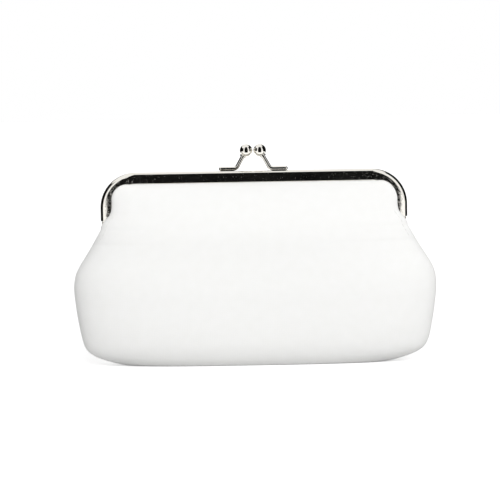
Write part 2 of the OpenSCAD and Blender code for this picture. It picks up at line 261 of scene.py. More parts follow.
def woven(name, colours, spacing, depth, roughness, bloom):
    """Woven cloth: two close colours, thread spacing and depth in millimetres."""
    material, tree, shader = new_material(name)
    uv = add_node(tree, "ShaderNodeUVMap", {"uv_map": "cloth"})
    bands = [
        add_node(
            tree, "ShaderNodeTexWave",
            {"bands_direction": axis, "Scale": WAVE_PERIOD / (2 * spacing * MM),
             "Distortion": 0.6, "Detail": 1.0, "Detail Scale": 2.0},
            {"Vector": (uv, "UV")},
        )
        for axis in ("X", "Y")
    ]
    weave = add_node(
        tree, "ShaderNodeMath", {"operation": "MULTIPLY"},
        {0: (bands[0], "Fac"), 1: (bands[1], "Fac")},
    )
    slub = add_node(
        tree, "ShaderNodeTexNoise", {"Scale": 1 / (SLUB * MM), "Detail": 3.0},
        {"Vector": (uv, "UV")},
    )
    dress(tree, shader, colours, (slub, "Fac"), (weave, "Value"), 0.5, depth, roughness)
    shader.inputs["Sheen Weight"].default_value = bloom
    shader.inputs["Sheen Roughness"].default_value = 0.5
    shader.inputs["IOR"].default_value = 1.45
    shader.inputs["Specular IOR Level"].default_value = 0.3
    return material


outer_cloth = woven(
    "calendered_polyester_cloth", ("#F6F6F5", "#F2F2F0"),
    spacing=0.5, depth=0.03, roughness=0.85, bloom=0.08,
)
lining_cloth = woven(
    "polyester_taffeta_lining", ("#E9E9EA", "#E2E2E4"),
    spacing=0.4, depth=0.02, roughness=0.5, bloom=0.15,
)
print("cloth materials:", outer_cloth.name, lining_cloth.name)

# %% [markdown]
# The hems are sewn with spun polyester thread, two plies twisted together. The
# plies show as slanting bands, 0.5 mm from one to the next, so one wave pattern
# runs along the diagonal of the stitches' UV map. It bumps the plies, and it also
# paints the grooves between them darker, which is painted shade.

# %% Sewing thread
PLY_PITCH = 0.5

thread, tree, shader = new_material("spun_polyester_thread")
uv = add_node(tree, "ShaderNodeUVMap", {"uv_map": "cloth"})
plies_and_groove_shade = add_node(
    tree, "ShaderNodeTexWave",
    {"bands_direction": "DIAGONAL", "Scale": WAVE_PERIOD / (PLY_PITCH * MM)},
    {"Vector": (uv, "UV")},
)
# the ply pattern also paints the grooves between the plies darker: painted shade
dress(
    tree, shader, ("#E4E4E1", "#F4F4F2"), (plies_and_groove_shade, "Fac"), (plies_and_groove_shade, "Fac"),
    strength=0.6, depth=0.05, roughness=0.6,
)
print("thread:", thread.name)

# %% [markdown]
# The padding is open-cell polyurethane foam cut from a sheet: pale cream, dull,
# and pitted by cells about a millimetre across. The same cells that bump it also
# make its pits a darker cream, which is painted shade.

# %% Foam
FOAM_CELL = 1.0

foam, tree, shader = new_material("open_cell_polyurethane_foam")
place = add_node(tree, "ShaderNodeTexCoord")
cells_and_pit_shade = add_node(
    tree, "ShaderNodeTexVoronoi", {"Scale": 1 / (FOAM_CELL * MM)}, {"Vector": (place, "Object")}
)
# the pits are painted a darker cream: painted shade in the hollows of the cells
dress(
    tree, shader, ("#D9CFAE", "#F2ECD6"), (cells_and_pit_shade, "Distance"), (cells_and_pit_shade, "Distance"),
    strength=0.6, depth=0.3, roughness=0.95,
)
print("foam:", foam.name)

# %% [markdown]
# The frame, arms, balls and rivets are stamped or turned steel with bright
# nickel plate. It mirrors the room with a faintly warm grey. Barrel plating
# leaves shallow waves a few millimetres long and tiny pits, which show as pale
# specks where the metal mirrors something dark.

# %% Nickel plate
WAVE_SIZE, SPECK_SIZE = 5, 0.9

nickel, tree, shader = new_material("bright_nickel_plated_steel")
place = add_node(tree, "ShaderNodeTexCoord")
waves = add_node(
    tree, "ShaderNodeTexNoise", {"Scale": 1 / (WAVE_SIZE * MM), "Detail": 2.0},
    {"Vector": (place, "Object")},
)
specks = add_node(
    tree, "ShaderNodeTexNoise", {"Scale": 1 / (SPECK_SIZE * MM), "Detail": 4.0, "Roughness": 0.7},
    {"Vector": (place, "Object")},
)
wavy = bumped(tree, (waves, "Fac"), strength=0.2, depth=0.04)
pitted = bumped(tree, (specks, "Fac"), strength=0.08, depth=0.015, under=wavy)
polish = add_node(
    tree, "ShaderNodeMapRange",
    {"From Min": 0.52, "From Max": 0.72, "To Min": 0.03, "To Max": 0.35},
    {"Value": (specks, "Fac")},
)
tree.links.new(pitted.outputs["Normal"], shader.inputs["Normal"])
tree.links.new(polish.outputs["Result"], shader.inputs["Roughness"])
shader.inputs["Base Color"].default_value = linear("#EFECE5")
shader.inputs["Metallic"].default_value = 1.0
print("metal:", nickel.name)

# %% [markdown]
# The cord in each channel is kraft paper, twisted: brown, dull, and streaked
# along the twist. The streaks follow the cord's own UV map. One pattern gives them
# both their bump and their colour, so besides the paper's own streaky brown, the
# low streaks are painted darker as the shade in the twist's creases.

# %% Twisted kraft paper
STREAK_L, STREAK_W = 4, 0.4

paper, tree, shader = new_material("twisted_kraft_paper")
uv = add_node(tree, "ShaderNodeUVMap", {"uv_map": "cloth"})
stretch = add_node(
    tree, "ShaderNodeMapping", {"Scale": (1 / (STREAK_L * MM), 1 / (STREAK_W * MM), 1)},
    {"Vector": (uv, "UV")},
)
fibres_and_crease_shade = add_node(
    tree, "ShaderNodeTexNoise", {"Scale": 1.0, "Detail": 4.0}, {"Vector": (stretch, "Vector")}
)
# the paper's own streaky brown, with its low streaks painted darker: painted shade in the creases
dress(
    tree, shader, ("#9C7B52", "#CDB188"), (fibres_and_crease_shade, "Fac"), (fibres_and_crease_shade, "Fac"),
    strength=0.5, depth=0.1, roughness=0.9,
)
print("cord:", paper.name)

# %% [markdown]
# The cloth's outline is worked out from the frame. Below the hinge line the
# half width and the half depth at each height are smooth curves through a few
# heights. Both run over the square root of the height, so they leave the base
# level and turn up in a round edge. Above the hinge line the front face leans
# in to the channel like a tent, and its side edge follows the inside of the
# frame, with a fold that hangs over the feet of the legs.

# %% Outline of the cloth
CHANNEL_H = 6.5       # the channel's height, crown to mouth
CORNER_R = 20         # the frame's outer corner radius
OPENING_R = 9         # radius of the opening's corners in the outer face
SHEET = 0.7           # the frame's sheet steel
TUCK = 3              # how far the cloth goes into the channel
FOOT_RISE = 4.6       # the legs' feet above the hinge line
SEAM_DROP = 7.5       # the side seams' ends below the hinge line
CLOTH_T, FOAM_T, LINING_T, PLY_GAP, SKIVED_T = 0.8, 1.8, 0.5, 0.15, 0.3

corner_x, corner_z = frame_half_w - CORNER_R, crown_z - CORNER_R
opening_top = crown_z - CHANNEL_H
tuck_r = CORNER_R - CHANNEL_H + TUCK
slot_y = face_y - SHEET - 0.05
seam_end = hinge_z - SEAM_DROP
foot_z = hinge_z + FOOT_RISE

# shares of the body's half width and half depth, at these heights
WIDTH_HEIGHTS = (0, 0.6, 2.3, 5.4, 9, 12.4, 16, 23, 33, 45, 51.4, 56.9, 63.2, 69.9, 75, 79.2)
WIDTH_SHARES = (0.70, 0.745, 0.81, 0.89, 0.935, 0.952, 0.962, 0.975, 0.99, 1,
                0.993, 0.971, 0.933, 0.893, 0.864, 0.8402)
DEPTH_HEIGHTS = (0, 1.2, 3, 5.5, 9, 13, 20, 30, 40, 51, 63, 79, 104.5)
DEPTH_SHARES = (0.54, 0.64, 0.72, 0.797, 0.87, 0.925, 0.97, 0.995, 1, 0.97, 0.92, 0.865, 0.78)
# how far the cloth stands past the leg's inner edge, at these heights
OVERHANG_HEIGHTS = (79.2, 81.5, 85, 88, 92, opening_top)
OVERHANGS = (6.3, 5.7, 2.9, 0.7, 0, 0)
TENT_START = 70       # height at which the front face begins to lean in
SIDE_LEAN = 0.7       # how much further the cloth hangs over the right leg
LEAN_RISE, LEAN_FALL = (82, 92), (94, 99)     # heights at which it begins and ends


def arc_half_w(z, radius):
    """Half width of a U of this corner radius at a height: straight legs, then the
    corner's circle."""
    up = np.clip(z - corner_z, 0, radius)
    return corner_x + np.sqrt(radius * radius - up * up)


def opening_half_w(z):
    """Half width of the opening in the outer face: straight legs, then its own
    corner's circle."""
    up = np.clip(z - (opening_top - OPENING_R), 0, OPENING_R)
    return frame_half_w - CHANNEL_H - OPENING_R + np.sqrt(OPENING_R ** 2 - up * up)


def half_width(z):
    """Half width of the cloth's side edge. Below the hinge line it is the body's
    outline, and above it the opening's plus the overhang past the leg's inner edge."""
    body = belly_half_w * eased(np.sqrt(z), np.sqrt(WIDTH_HEIGHTS), WIDTH_SHARES)
    over = eased(z, OVERHANG_HEIGHTS, OVERHANGS)
    return np.where(z < OVERHANG_HEIGHTS[0], body, opening_half_w(z) + over)


def right_lean(z):
    """Extra width at the right edge: SIDE_LEAN beside the leg, and nothing at the
    hinge and the bar."""
    return SIDE_LEAN * smooth_step(z, *LEAN_RISE) * (1 - smooth_step(z, *LEAN_FALL))


def half_depth(z):
    """Depth of the front face at the middle: the body's curve, times a tent that
    falls as 1 - t^1.9 to the power 0.75 from TENT_START to the channel's mouth."""
    body = belly_half_d * eased(np.sqrt(z), np.sqrt(DEPTH_HEIGHTS), DEPTH_SHARES)
    t = np.clip((z - TENT_START) / (opening_top - TENT_START), 0, 1)
    return slot_y + (body - slot_y) * (1 - t ** 1.9) ** 0.75


def side_power(z):
    """The superellipse's power across the width: the higher, the squarer its sides."""
    return eased(z, (0, 12, 25, 45, 79, 105), (2.7, 2.8, 3.1, 3.1, 2.4, 2.2))


def face_power(z):
    """The superellipse's power across the depth: the higher, the flatter its face."""
    return eased(z, (0, 45, 79, 105), (2.4, 2.4, 2.8, 2.8))


heights = np.array([2.3, 9, 45, hinge_z, 90, 100.0])
for z, w, d in zip(heights, half_width(heights), half_depth(heights)):
    print(f"at {z:5.1f}: half width {w:6.2f}, half depth {d:5.2f}")

# %% [markdown]
# Each layer of the front half is a grid that runs from the bottom seam, under the
# base, up the face and into the channel. The wall rows stand at chosen heights.
# The rows under the base are the lowest wall row, drawn in to the middle plane and
# lifted a little at the seam. The last rows go up into the slot.

# %% Rows
BASE_SHARES = np.array([0, 0.004, 0.015, 0.04, 0.08, 0.14, 0.25, 0.4, 0.55, 0.7, 0.85])
BASE_LIFTS = np.array([3, 1.2, 0.5, 0.18, 0.05, 0, 0, 0, 0, 0, 0])
TUCK_ROWS = np.array([0.5, 1]) * TUCK
MID_GAP = 0.05        # what a base or seam keeps from the purse's middle plane


def row_heights():
    """Heights of the wall rows, close together where the outline turns: squared
    steps up to 16, then 2.5 apart, 0.75 apart beside the hinge and the legs, and
    even angles round the opening's corner."""
    low = 16 * np.linspace(0, 1, 19) ** 2
    middle = np.arange(18.5, seam_end - 2.5, 2.5)
    hinge = np.arange(seam_end - 2, opening_top - OPENING_R, 0.75)
    top = opening_top - OPENING_R * (1 - np.sin(np.radians(np.linspace(0, 90, 19))))
    return np.concatenate([low, middle, hinge, top])


def tucked_rows(wall, ahead):
    """Rows above the channel's mouth: the last row pushed up into the slot and
    narrowed to the U at which the tuck ends."""
    rows = np.repeat(wall[-1:], len(TUCK_ROWS), 0)
    rows[..., 2] += TUCK_ROWS[:, None]
    limit = arc_half_w(rows[..., 2], tuck_r) + 0.01 * (np.abs(rows[..., 0]) - corner_x)
    rows[..., 0] = np.clip(rows[..., 0], -limit, limit)
    rows[..., 1] = ahead
    return rows


def whole_layer(wall, z, bottom, lift_share, tuck_f=None):
    """A layer's whole grid as (x, y, z): rows under the base from the bottom seam out,
    the wall at its heights and, if tuck_f is given, the rows in the slot there."""
    wall = np.concatenate([wall, np.broadcast_to(z[:, None, None], (*wall.shape[:2], 1))], 2)
    base = np.repeat(wall[:1], len(BASE_SHARES), 0)
    base[..., 1] = MID_GAP + (base[..., 1] - MID_GAP) * BASE_SHARES[:, None]
    base[..., 2] = bottom + BASE_LIFTS[:, None] * lift_share
    rows = [base, wall] if tuck_f is None else [base, wall, tucked_rows(wall, tuck_f)]
    return np.concatenate(rows) * (1, -1, 1)


wall_rows = len(row_heights())
print(f"{len(BASE_SHARES)} base rows, {wall_rows} wall rows, {len(TUCK_ROWS)} tucked rows")

# %% [markdown]
# Across each wall row the face is a superellipse. On the body it bulges from the
# middle plane, and higher up from the slot's plane. The edge's own distance from
# the middle is blended in near the edge alone.

# %% The face
FACE_COLUMNS = 121
EDGE_GAP = 0.02       # how far behind the face's middle an edge stays at least


def pair(x, f):
    """Two grids as one of (distance out, distance forward)."""
    return np.stack(np.broadcast_arrays(x, f), -1).astype(float)


def face_rows(z, reach, depth, floor, edges, lean=0):
    """Superellipse rows: with s = (1 - u^n)^(1/m), the forward distance is
    floor + (depth - floor) s + (edge - floor)(1 - s)^3, so that the edge's own
    distance is felt only close to it. edges holds the left edge's distances and
    the right one's, and lean widens each row to the right."""
    t = np.linspace(-1, 1, FACE_COLUMNS)
    u = np.sign(t) * (1 - (1 - np.abs(t)) ** 2.4)
    share = (1 - np.abs(u) ** side_power(z)[:, None]) ** (1 / face_power(z)[:, None])
    edge = np.where(u < 0, edges[0][:, None], edges[1][:, None])
    floor = np.minimum(floor[:, None], edge)
    ahead = (depth[:, None] - floor) * share + (edge - floor) * (1 - share) ** 3
    across = reach[:, None] * u + np.reshape(lean, (-1, 1)) * (1 + u) / 2
    return pair(across, floor + ahead)


def face_floor(z, slot):
    """Distance from which the face bulges: the middle plane on the body, and the
    slot's plane where the cloth hangs in the channel."""
    return slot * smooth_step(z, 55, 92)


print("columns across the face:", FACE_COLUMNS)

# %% [markdown]
# At the face's ends the cloth turns back: below the seams' ends into the side
# seam, beside the hinge into a narrow hem, and above it over the edge of the
# channel's wall and into the slot. Each of the three endings is worked out at
# every height, and two shares that depend on the height choose between them.

# %% The turned sides
TURN_COLUMNS = 7      # columns in which the cloth turns back
TAIL_COLUMNS = 4      # columns of seam allowance, hem or tuck
SIDE_COLUMNS = TURN_COLUMNS + TAIL_COLUMNS

SEAM_GAP = 0.01       # what the seam allowance keeps from the middle plane
SEAM_TURN = 2.2       # how far in the cloth turns back at the seam
HEM_TURN = 1.6        # how far in it turns back at the hem
TAIL_STEP = 1.1       # from one column of the allowance or hem to the next
HEM_AHEAD = 0.35      # the hem's turned side, forward of the metal's face
WALL_AHEAD = 0.1      # cloth that hangs over the channel's wall, forward of it


def bezier(a, c, r, count):
    """Points of a quadratic curve from a to r that heads for c, without a itself."""
    t = (np.arange(1, count + 1) / count)[:, None, None]
    return ((1 - t) ** 2 * a + 2 * t * (1 - t) * c + t * t * r).transpose(1, 0, 2)


def hem_share(z):
    """0 at the sewn seam and 1 where the cloth's side edge is free, beside the hinge."""
    return smooth_step(z, seam_end - 1, seam_end + 4.5)


def slot_share(z):
    """0 below the legs' feet and 1 where the cloth's side edge is in the channel."""
    return smooth_step(z, foot_z - 2.4, foot_z - 0.2)


def outer_side(z, reach, edge):
    """The turned columns of the right side of the outer cloth, from the face outward.
    held is 1 where the edge stands before the channel's wall, so that the cloth
    doubles back round the wall's edge, and 0 where it goes straight into the slot."""
    window, tucked = opening_half_w(z), arc_half_w(z, tuck_r)
    tail = np.arange(1, TAIL_COLUMNS + 1)
    seam, slot = hem_share(z), slot_share(z)
    hem_f, wall_f = face_y + HEM_AHEAD, face_y + WALL_AHEAD
    held = np.clip((edge - slot_y) / (wall_f - slot_y), 0, 1)
    inner_x = (reach - SEAM_TURN) + (SEAM_TURN - HEM_TURN) * seam
    inner_x = inner_x + (window + 0.3 - 0.4 * held - inner_x) * slot
    inner_f = SEAM_GAP + (hem_f - SEAM_GAP) * seam + (np.minimum(edge, wall_f) - hem_f) * slot
    turn = bezier(pair(reach, edge), pair(reach, inner_f), pair(inner_x, inner_f), TURN_COLUMNS)
    free_x = inner_x[:, None] - TAIL_STEP * tail
    free_f = np.repeat(inner_f[:, None], TAIL_COLUMNS, 1)
    # round the wall's edge, behind the wall, half way up the slot and to its end
    behind = window + 0.8
    slot_x = np.stack(
        [window + 0.5 - 0.8 * held, behind - 0.8 * held, (behind + tucked) / 2, tucked], 1
    )
    in_slot = np.full_like(z, slot_y)
    slot_f = np.stack([np.minimum(face_y - 0.3, edge), in_slot, in_slot, in_slot], 1)
    mix = slot[:, None]
    tail_xf = np.stack([free_x + (slot_x - free_x) * mix, free_f + (slot_f - free_f) * mix], -1)
    return np.concatenate([turn, tail_xf], 1)


print("columns on each turned side:", SIDE_COLUMNS)

# %% [markdown]
# The outer cloth is the face with a turned side at each end. Its side edges lie
# close to the middle plane along the seams, stand forward of the metal beside the
# hinge, and sink into the slot near the crown. In the photograph the cloth covers
# the right leg's side higher up than the left one's, so each edge has distances
# of its own.

# %% The outer cloth
EDGE_RISE = 1.5       # how far the side seams' lower ends are drawn up

# how far forward the side edges lie, at these heights
EDGE_HEIGHTS = (
    0, 60, seam_end - 1.5, seam_end + 2, seam_end + 5.5, foot_z, 88, 93, 97, 99.2, 101, 105,
)
LEFT_EDGES = (0.8, 0.8, 0.9, 3.4, 6.1, 6.4, 5.8, 4.8, slot_y, slot_y, slot_y, slot_y)
RIGHT_EDGES = (0.8, 0.8, 0.9, 3.4, 6.1, 6.4, 6.0, 5.9, 5.8, 5.5, slot_y, slot_y)


def outer_points():
    """The outer cloth's front half as rows of (x, y, z)."""
    z = row_heights()
    reach, depth, lean = half_width(z), half_depth(z), right_lean(z)
    left_edge, right_edge = (
        np.minimum(eased(z, EDGE_HEIGHTS, v), depth - EDGE_GAP)
        for v in (LEFT_EDGES, RIGHT_EDGES)
    )
    face = face_rows(z, reach, depth, face_floor(z, slot_y), (left_edge, right_edge), lean)
    left = outer_side(z, reach, left_edge)[:, ::-1] * (-1, 1)
    wall = np.concatenate([left, face, outer_side(z, reach + lean, right_edge)], 1)
    rows = whole_layer(wall, z, 0, 1, slot_y)
    # the turned columns rise as the fourth root of the sum of fourth powers
    column = np.arange(rows.shape[1])
    beyond = SIDE_COLUMNS - np.minimum(column, column[-1] - column)
    rise = EDGE_RISE * np.clip(beyond / TURN_COLUMNS, 0, 1)
    rows[..., 2] = (rows[..., 2] ** 4 + rise ** 4) ** 0.25
    return rows


front_outer = outer_points()
print("outer cloth grid:", front_outer.shape[:2])

# %% [markdown]
# A panel is a closed shell: the grid, the same grid set back by the cloth's
# thickness, and four strips that join their borders.

# %% Closed shells
TABLE_GAP = 0.02      # how far above the table the inner side stays at least


def cloth_uv(points):
    """Distance across from the middle column, and distance up from the bottom seam."""
    across = run_length(points, 1)
    across = across - across[:, [points.shape[1] // 2]]
    return np.stack([across, run_length(points, 0)], -1)


def join_halves(piece):
    """Bake the piece's placement into its mesh and read its points."""
    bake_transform(piece)
    place = np.zeros(len(piece.data.vertices) * 3)
    piece.data.vertices.foreach_get("co", place)


def shell_faces(rows, columns, flip):
    """Quads of a closed shell: an outer grid, an inner grid turned round, and the
    strips that join their four borders."""
    n, c, r = rows * columns, np.arange(columns - 1), np.arange(rows - 1) * columns
    top, last = (rows - 1) * columns, columns - 1
    outer = grid_faces(rows, columns)
    strips = [
        np.stack([c + 1, c, n + c, n + c + 1], -1),
        np.stack([top + c, top + c + 1, n + top + c + 1, n + top + c], -1),
        np.stack([r, r + columns, n + r + columns, n + r], -1),
        np.stack([r + columns + last, r + last, n + r + last, n + r + columns + last], -1),
    ]
    quads = np.concatenate([outer, n + outer[:, ::-1], *strips])
    return quads[:, ::-1] if flip else quads


def layer_between(name, outer, inner, material, side):
    """A soft layer that fills the room between two grids, on the front or the rear."""
    points = np.stack([outer, inner]) * (1, side, 1)
    uv = np.stack([cloth_uv(outer), cloth_uv(inner)])
    piece = make_piece(name, points, (shell_faces(*outer.shape[:2], side < 0),), uv, material)
    join_halves(piece)
    return piece


def inward(points, thickness):
    """A grid set back by a thickness, along the cross product of the grid's two
    directions. No point goes below the table."""
    out = np.cross(np.gradient(points, axis=1), np.gradient(points, axis=0)) + (0, -1e-9, 0)
    inner = points - thickness * out / np.linalg.norm(out, axis=-1, keepdims=True)
    inner[..., 2] = np.maximum(inner[..., 2], TABLE_GAP)
    return inner


def panel(name, points, thickness, material, side):
    """A panel of cloth, thickened inward, for the front (side 1) or the rear (-1)."""
    return layer_between(name, points, inward(points, thickness), material, side)


HALVES = (("front", "front_frame", 1), ("rear", "rear_frame", -1))
print("shells for:", ", ".join(word for word, half, side in HALVES))

# %% [markdown]
# The rear panel is the front one mirrored. A flat sheet was cut for each before
# sewing: the grid's longest row and longest column give its width and length.

# %% Outer panels


def grid_area(points):
    """Area of a grid in square metres, as the sum of its quads' cross products."""
    a = points[1:, 1:] - points[:-1, :-1]
    b = points[1:, :-1] - points[:-1, 1:]
    return np.linalg.norm(np.cross(a, b), axis=-1).sum() / 2 * MM * MM


def flat_cut(points):
    """Width and length of the cut before sewing, in metres: the longest row and column."""
    width = run_length(points, 1)[:, -1].max()
    length = run_length(points, 0)[-1].max()
    return width * MM, length * MM


for word, half, side in HALVES:
    piece = panel(f"{word}_outer_panel", front_outer, CLOTH_T, outer_cloth, side)
    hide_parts(f"{word}_outer_lower", f"{word}_outer_upper")
width, length = flat_cut(front_outer)
print(f"outer panel cut {width:.3f} x {length:.3f} m, area {grid_area(front_outer):.4f} m2")

# %% [markdown]
# Beside each hinge the cloth is hemmed, so that its free edge doesn't fray. A
# stitch is a short rod with a round section that rises from the cloth and dives
# back into it. All stitches of a hem are laid out at once along one column of the
# outer panel's grid.

# %% Hem stitches
STITCH_L, STITCH_PITCH, THREAD_R = 2.2, 2.9, 0.17
HEM_COLUMN = SIDE_COLUMNS + 15            # the hem's column, in from the grid's border
STITCHED = (seam_end + 0.6, foot_z + 6)   # heights between which the hem is sewn
STITCH_RINGS, THREAD_CORNERS = 7, 8
thread_angle = np.linspace(0, 2 * np.pi, THREAD_CORNERS + 1)[:-1, None]


def hem_line(points, column):
    """Places and outward directions along a column of a grid, from the seam's end to
    the leg. Outward is the cross product of the directions across and up."""
    line, across = points[:, column], points[:, column + 1] - points[:, column - 1]
    out = np.cross(across, np.gradient(line, axis=0))
    keep = (line[:, 2] > STITCHED[0]) & (line[:, 2] < STITCHED[1])
    return line[keep], out[keep] / np.linalg.norm(out[keep], axis=1, keepdims=True)


def stitch_rods(line, out):
    """Rings of points for each stitch. At share t of its length a stitch's middle
    stands 0.2 (1 - (2t - 1)^4) - 0.12 mm above the cloth."""
    s = run_length(line[:, None], 0)[:, 0]
    t = np.linspace(0, 1, STITCH_RINGS)
    at = np.arange(0.2, s[-1] - STITCH_L, STITCH_PITCH)[:, None] + STITCH_L * t
    middle, up = (np.stack([np.interp(at, s, v[:, i]) for i in range(3)], -1) for v in (line, out))
    along = np.gradient(middle, axis=1)
    aside = np.cross(along / np.linalg.norm(along, axis=-1, keepdims=True), up)
    middle = middle + up * (0.2 * (1 - (2 * t - 1) ** 4) - 0.12)[:, None]
    up, aside = up[..., None, :], aside[..., None, :]
    ring = np.cos(thread_angle) * up + np.sin(thread_angle) * aside
    return middle[..., None, :] + THREAD_R * ring


def sewn(name, rods, side):
    """A mesh of rods, each a closed tube with a cap at both ends."""
    count, rings, corners = rods.shape[:3]
    first = np.arange(count)[:, None] * rings * corners
    tube = (grid_faces(rings, corners, closed=True)[None] + first[..., None]).reshape(-1, 4)
    start = first + np.arange(corners)[::-1]
    end = first + (rings - 1) * corners + np.arange(corners)
    faces = [f[:, ::side] for f in (tube, start, end)]
    turn, run = np.meshgrid(np.arange(corners) / corners, np.arange(rings) / (rings - 1))
    uv = np.broadcast_to(
        np.stack([run * STITCH_L, turn * 2 * np.pi * THREAD_R], -1), (count, rings, corners, 2)
    )
    return make_piece(name, rods * (1, side, 1), tuple(faces), uv, thread)


for word, half, side in HALVES:
    last = front_outer.shape[1] - 1
    hems = [stitch_rods(*hem_line(front_outer, at)) for at in (HEM_COLUMN, last - HEM_COLUMN)]
    piece = sewn(f"{word}_hem_stitches", np.concatenate(hems), side)
    join_halves(piece)
print("stitches in a hem:", len(hems[0]))

# %% [markdown]
# Each side seam ends in a bar tack, which stops it tearing when the frame is
# pulled open: five threads side by side, round the seam's ridge.

# %% Bar tacks
TACK_THREADS, TACK_RINGS, TACK_STEP = 5, 9, 0.45
TACK_HEIGHTS = seam_end - 1.2 + TACK_STEP * np.arange(TACK_THREADS)
TACK_REACH = 1.5      # how far a tack's threads go to the front and to the rear
round_seam = np.tile(np.linspace(-1, 1, TACK_RINGS), (TACK_THREADS, 1))
for word, hand in (("left", -1), ("right", 1)):
    # each thread of the tack runs round the seam's ridge from the front to the rear
    x = hand * (half_width(TACK_HEIGHTS)[:, None] - 0.02 - 0.12 * round_seam ** 2)
    y = -hand * TACK_REACH * round_seam
    middle = np.stack([x, y, TACK_HEIGHTS[:, None] + 0 * y], -1)
    ring = np.cos(thread_angle) * (hand, 0, 0) + np.sin(thread_angle) * (0, 0, 1)
    tack = sewn(f"{word}_bar_tack", middle[..., None, :] + THREAD_R * ring, 1)
    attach(tack, "pouch")
print("bar tacks from", TACK_HEIGHTS[0], "to", TACK_HEIGHTS[-1])

# %% [markdown]
# The foam padding and the lining lie behind the outer cloth. Each has its own
# grid, set in from the outer one by what lies in front of it. At the channel
# the foam is skived thin so that all layers fit the slot with the cord.

# %% Padding and lining
LUG_ROOM = 84.6       # half width to which these layers keep, inside the frame's lugs
LUG_REACH = 4.5       # how far below the hinge line they do so


def inner_points(inset, thin_inset, edge_in, tucked):
    """A layer behind the outer cloth. The set-in is inset on the body and changes to
    thin_inset over the last 5 mm before the channel's mouth. Beside the hinge the
    layer's free edge lies edge_in forward of the middle plane. A tucked layer ends
    in the slot, and the other one stops at the mouth."""
    z = row_heights()
    z = z + inset * (1 - smooth_step(z, 0, 60))
    near, slot = smooth_step(z, opening_top - 5, opening_top), slot_share(z)
    depth = half_depth(z) - inset - (thin_inset - inset) * near
    room = np.where(z < hinge_z - LUG_REACH, np.inf, LUG_ROOM)
    body_reach = np.minimum(half_width(z) - inset, room)
    reach = body_reach + (opening_half_w(z) - PLY_GAP - body_reach) * slot
    thin_f = slot_y - thin_inset
    edge = MID_GAP + (edge_in - MID_GAP) * hem_share(z) + (thin_f - edge_in) * slot
    edge = np.minimum(edge, depth - EDGE_GAP)
    wall = face_rows(z, reach, depth, face_floor(z, thin_f), (edge, edge))
    if tucked:
        tucked_x = arc_half_w(z, tuck_r)
        tail = np.arange(1, TAIL_COLUMNS + 1) / TAIL_COLUMNS
        fold_x = (reach - PLY_GAP)[:, None] - tail
        slot_x = reach[:, None] + (tucked_x - reach)[:, None] * tail
        tail_x = fold_x + (slot_x - fold_x) * slot[:, None]
        tail_f = np.repeat(edge[:, None], TAIL_COLUMNS, 1)
        right = np.stack([tail_x, tail_f], -1)
        wall = np.concatenate([right[:, ::-1] * (-1, 1), wall, right], 1)
    return whole_layer(wall, z, inset, 0.3, thin_f if tucked else None)


foam_in = CLOTH_T + PLY_GAP
foam_back, skived_back = foam_in + FOAM_T, foam_in + SKIVED_T
padding_grid = inner_points(foam_in, foam_in, edge_in=5.6, tucked=False)
padding_back = inner_points(foam_back, skived_back, edge_in=5.15, tucked=False)
lining_grid = inner_points(foam_back + PLY_GAP, skived_back + PLY_GAP, edge_in=5.0, tucked=True)

for word, half, side in HALVES:
    padding = layer_between(f"{word}_padding", padding_grid, padding_back, foam, side)
    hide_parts(f"{word}_padding_lower", f"{word}_padding_upper")
    lining = panel(f"{word}_lining_panel", lining_grid, LINING_T, lining_cloth, side)
    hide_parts(f"{word}_lining_lower", f"{word}_lining_upper")
width, length = flat_cut(lining_grid)
print(f"lining cut {width:.3f} x {length:.3f} m, area {grid_area(lining_grid):.4f} m2")

# %% [markdown]
# The paper cord is pushed into the channel behind the cloth. It is two strips
# of paper twisted together, so its section is a two-lobed outline that turns
# as it goes along. A profile carried along a path makes it: the path is the
# U of the frame, and at each step the section stands square to it.

# %% Twisted paper cords
CORD_R = 0.57         # radius over the lobes
CORD_Y = 1.475        # its middle, forward of the purse's middle plane
CORD_INSET = 5.2      # its middle, in from the frame's outer edge
TWIST_PITCH = 5       # length of one full turn
CORD_STEP, CORD_CORNERS = 0.5, 16


def frame_path(inset, foot, step):
    """Distances along the frame's U, with the points and the outward directions
    there, in the plane seen from the front."""
    radius = CORNER_R - inset
    leg, arc, bar = corner_z - foot, radius * np.pi / 2, 2 * corner_x
    total = 2 * leg + 2 * arc + bar
    s = np.linspace(0, total, int(total / step) + 1)
    turn = sum(np.clip((s - start) / radius, 0, np.pi / 2) for start in (leg, leg + arc + bar))
    out = np.stack([-np.cos(turn), np.sin(turn)], -1)
    along_bar = np.clip(s - leg - arc, 0, bar)
    down = np.clip(s - total + leg, 0, leg)
    centre = np.stack([-corner_x + along_bar, corner_z + np.minimum(s - leg, 0) - down], -1)
    return s, centre + out * radius, out


